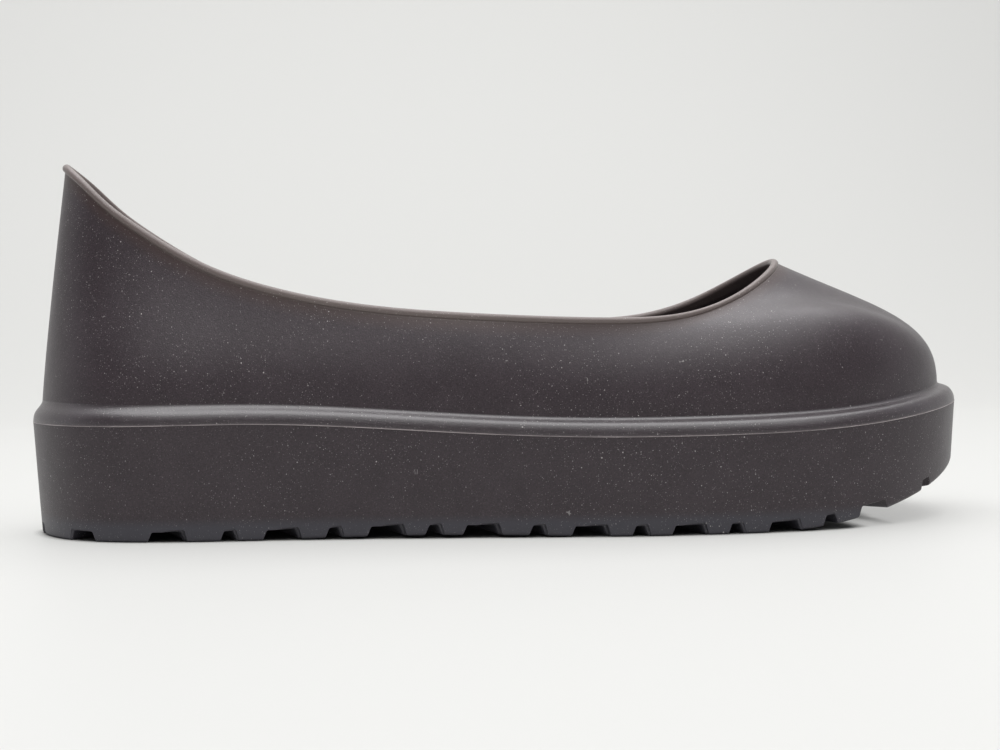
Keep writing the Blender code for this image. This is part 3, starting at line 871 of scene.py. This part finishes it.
def makeSole(material):
    sizes = treadSizes
    body = makeSoleBody()
    tree = BVHTree.FromBMesh(body)
    columns, outward = lastRing(soleSizes["ringSteps"])

    # Where a plan line that starts outside meets the side of the sole, half way up the lugs
    def sideHit(start, way):
        height = float(treadHeight(start[0])) + sizes["castHeight"] * sizes["lugHeight"]
        origin = Vector((*start, height)) - Vector((*way, 0)) * sizes["castFrom"]
        hit = tree.ray_cast(origin, Vector((*way, 0)))[0]
        return np.array(hit[:2])

    # Stations across the side, from outside to inside: the groove narrows over a round corner
    def mouthStations(entry, way):
        way = np.array(way)
        stations = [(entry - way * sizes["beyond"], sizes["sideRound"])]
        straight = way * sizes["sideStraightMm"] * mm
        stations.append((entry - straight, sizes["sideRound"]))
        radius = sizes["sideRound"]
        for step in range(sizes["sideSteps"] + 1):
            depth = radius * (1 - cos(pi / 2 * step / sizes["sideSteps"]))
            growth = radius - sqrt(max(radius ** 2 - (radius - depth) ** 2, 0))
            stations.append((entry + way * depth, growth))
        return stations

    def halfWidthAt(x, side):
        sideRows = columns[:, 1] * side > 0
        order = np.argsort(columns[sideRows, 0])
        return np.interp(x, columns[sideRows, 0][order], columns[sideRows, 1][order] * side)

    for number, groove in enumerate(grooves):
        edge = float(halfWidthAt(groove.x, -1) + halfWidthAt(groove.x, 1)) / 2

        def onChevron(y):
            return np.array([groove.x - sizes["chevron"] * (1 - min(abs(y) / edge, 1)), y])

        ends = {}
        for side in (-1, 1):
            outer = onChevron(side * edge)
            inner = onChevron(side * (edge - 8 * mm))
            way = (inner - outer) / np.linalg.norm(inner - outer)
            entry = sideHit(outer - way * 10 * mm, way)
            ends[side] = mouthStations(entry, way)
        if groove.wide:
            middle = [(onChevron(edge * share), 0.0) for share in (-0.7, -0.35, 0, 0.35, 0.7)]
            stations = ends[-1] + middle + ends[1][::-1]
            grooveCutter(f"groove{number}", stations, sizes["wideCeiling"])
            continue
        for side in (-1, 1):
            stop = onChevron(side * (edge - sizes["sipeReach"]))
            stations = ends[side] + [(stop, 0.0)]
            foot = "outer" if side < 0 else "inner"
            grooveCutter(f"sipe{number}{foot}", stations, sizes["narrowCeiling"])
    for number, groove in enumerate(endGrooves):
        way = np.array([cos(radians(groove.heading)), sin(radians(groove.heading))])
        start = np.array([groove.x, groove.y])
        entry = sideHit(start - way * 6 * mm, way)
        stations = mouthStations(entry, way) + [(start + way * groove.reach, 0.0)]
        grooveCutter(f"endGroove{number}", stations, groove.ceiling)

    whole = finishPiece("soleBlank", body, material, soleSizes["sharpDegrees"])
    cut = whole.modifiers.new("tread", "BOOLEAN")
    cut.operation = "DIFFERENCE"
    cut.solver = "EXACT"
    cut.operand_type = "COLLECTION"
    cut.collection = cutterCollection
    evaluated = whole.evaluated_get(bpy.context.evaluated_depsgraph_get())
    mesh = bmesh.new()
    mesh.from_mesh(evaluated.to_mesh())
    evaluated.to_mesh_clear()
    bpy.data.objects.remove(whole)
    for cutter in list(cutterCollection.objects):
        bpy.data.objects.remove(cutter)
    bpy.data.collections.remove(cutterCollection)
    bmesh.ops.remove_doubles(mesh, verts=mesh.verts, dist=0.002 * mm)
    bmesh.ops.dissolve_degenerate(mesh, edges=mesh.edges, dist=0.002 * mm)
    bmesh.ops.triangulate(mesh, faces=[face for face in mesh.faces if len(face.verts) > 4])
    bmesh.ops.recalc_face_normals(mesh, faces=mesh.faces)
    loose = [edge for edge in mesh.edges if not edge.is_manifold]
    print("sole faces:", len(mesh.faces), "open edges:", len(loose))
    return finishPiece("soleCup", mesh, material, soleSizes["sharpDegrees"])


upperRubber = makeRubber("mouldedRubberUpper", upperFinish, True)
soleRubber = makeRubber("mouldedRubberSole", soleFinish, False)
upperShell = makeUpper(upperRubber)
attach(upperShell, "root")
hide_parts("upper")
print("upper made:", len(upperShell.data.polygons), "faces")
soleCup = makeSole(soleRubber)
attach(soleCup, "root")
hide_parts("outsole")
print("sole made:", len(soleCup.data.polygons), "faces")

# A pale table that sweeps up behind the shoe. Its paper glows a little, a painted light that lifts
# the floor's shade; the glow is taken away where something close above covers it, a painted contact
# shadow.
stageSizes = {
    "front": -5.0,
    "back": 0.55,
    "bend": 0.45,
    "bendSteps": 24,
    "top": 1.6,
    "halfWidth": 3.2,
    "paper": "#8a8a88",
    "roughness": 0.55,
    "glow": "#f2f2f0",
    "glowStrength": 0.47,
    "contact": 7 * mm,
    "openFrom": 0.40,
    "openTo": 0.75,
    "sharpDegrees": 60,
}


def makeSweep():
    sizes = stageSizes
    mesh = bmesh.new()
    ends = [mesh.verts.new((side * sizes["halfWidth"], sizes["front"], 0)) for side in (-1, 1)]
    edges = [mesh.edges.new(ends)]
    profile = [(sizes["back"], 0.0)]
    for step in range(1, sizes["bendSteps"] + 1):
        a = pi / 2 * step / sizes["bendSteps"]
        y = sizes["back"] + sizes["bend"] * sin(a)
        profile.append((y, sizes["bend"] * (1 - cos(a))))
    profile.append((sizes["back"] + sizes["bend"], sizes["top"]))
    for y, z in profile:
        verts, edges = extrudeEdges(mesh, edges)
        for vert in verts:
            vert.co.y, vert.co.z = y, floorZ + z
    material = bpy.data.materials.new("glowingMattPaper")
    material.use_nodes = True
    shader = material.node_tree.nodes["Principled BSDF"]
    shader.inputs["Base Color"].default_value = linearColour(sizes["paper"])
    shader.inputs["Roughness"].default_value = sizes["roughness"]
    shader.inputs["Emission Color"].default_value = linearColour(sizes["glow"])
    # Painted contact shadow: the glow fades out where ambient occlusion finds something close above
    paintedContactShadow = addNode(material.node_tree, "AmbientOcclusion", {"Distance": sizes["contact"]})
    sockets = {
        "Value": paintedContactShadow.outputs["AO"],
        "From Min": sizes["openFrom"],
        "From Max": sizes["openTo"],
        "To Min": 0.0,
        "To Max": sizes["glowStrength"],
    }
    glow = addNode(material.node_tree, "MapRange", sockets).outputs["Result"]
    material.node_tree.links.new(glow, shader.inputs["Emission Strength"])
    bmesh.ops.recalc_face_normals(mesh, faces=mesh.faces)
    return finishPiece("paperSweep", mesh, material, sizes["sharpDegrees"])


sweep = makeSweep()

# Soft light: a large box above, a weaker one high in front, and surroundings that are dim in front
# of the shoe and pale behind it
Light = namedtuple("Light", "name watts width depth place target")
lights = [
    Light("overheadBox", 18.5, 1.30, 1.65, (0.03, 0.04, 0.95), (0.03, 0.04, 0)),
    Light("frontBox", 6.2, 2.30, 0.75, (0.15, -1.20, 1.05), (0.05, 0, 0.05)),
]
surroundings = {
    "colour": "#f4f4f8",
    "front": 0.06,
    "frontUntil": -0.6,
    "back": 1.20,
    "backFrom": 0.8,
}
for row in lights:
    data = bpy.data.lights.new(row.name, "AREA")
    data.shape = "RECTANGLE"
    data.size, data.size_y, data.energy = row.width, row.depth, row.watts
    lamp = bpy.data.objects.new(row.name, data)
    lamp.location = row.place
    way = Vector(row.target) - Vector(row.place)
    lamp.rotation_euler = way.to_track_quat("-Z", "Y").to_euler()
    bpy.context.scene.collection.objects.link(lamp)
world = bpy.data.worlds.new("studio")
bpy.context.scene.world = world
world.use_nodes = True
background = world.node_tree.nodes["Background"]
background.inputs["Color"].default_value = linearColour(surroundings["colour"])
way = addNode(world.node_tree, "TexCoord", {}).outputs["Generated"]
depth = addNode(world.node_tree, "SeparateXYZ", {"Vector": way}).outputs["Y"]
sockets = {
    "Value": depth,
    "From Min": surroundings["frontUntil"],
    "From Max": surroundings["backFrom"],
    "To Min": surroundings["front"],
    "To Max": surroundings["back"],
}
glow = addNode(world.node_tree, "MapRange", sockets).outputs["Result"]
world.node_tree.links.new(glow, background.inputs["Strength"])
bpy.context.scene.view_settings.view_transform = "Standard"
print("studio lit")

# Camera: low beside the outer side, turned a little to the toe and rolled a little
cameraSpot = {
    "place": (-55.22 * mm, -557.42 * mm, 62.67 * mm),
    "turnDegrees": 5.5,
    "downDegrees": 1.739,
    "rollDegrees": 0.84,
    "focalPixels": 1780.8,
    "framePixels": 1000,
    "sensor": 36.0,
}
turn, down = radians(cameraSpot["turnDegrees"]), radians(cameraSpot["downDegrees"])
roll = radians(cameraSpot["rollDegrees"])
forward = Vector((sin(turn) * cos(down), cos(turn) * cos(down), -sin(down)))
level = Vector((cos(turn), -sin(turn), 0))
upright = level.cross(forward)
right = level * cos(roll) - upright * sin(roll)
above = right.cross(forward)
cameraData = bpy.data.cameras.new("camera")
cameraData.lens = cameraSpot["focalPixels"] / cameraSpot["framePixels"] * cameraSpot["sensor"]
cameraData.sensor_width = cameraSpot["sensor"]
camera = bpy.data.objects.new("camera", cameraData)
turned = Matrix((right, above, -forward)).transposed().to_4x4()
camera.matrix_world = Matrix.Translation(cameraSpot["place"]) @ turned
bpy.context.scene.collection.objects.link(camera)
bpy.context.scene.camera = camera
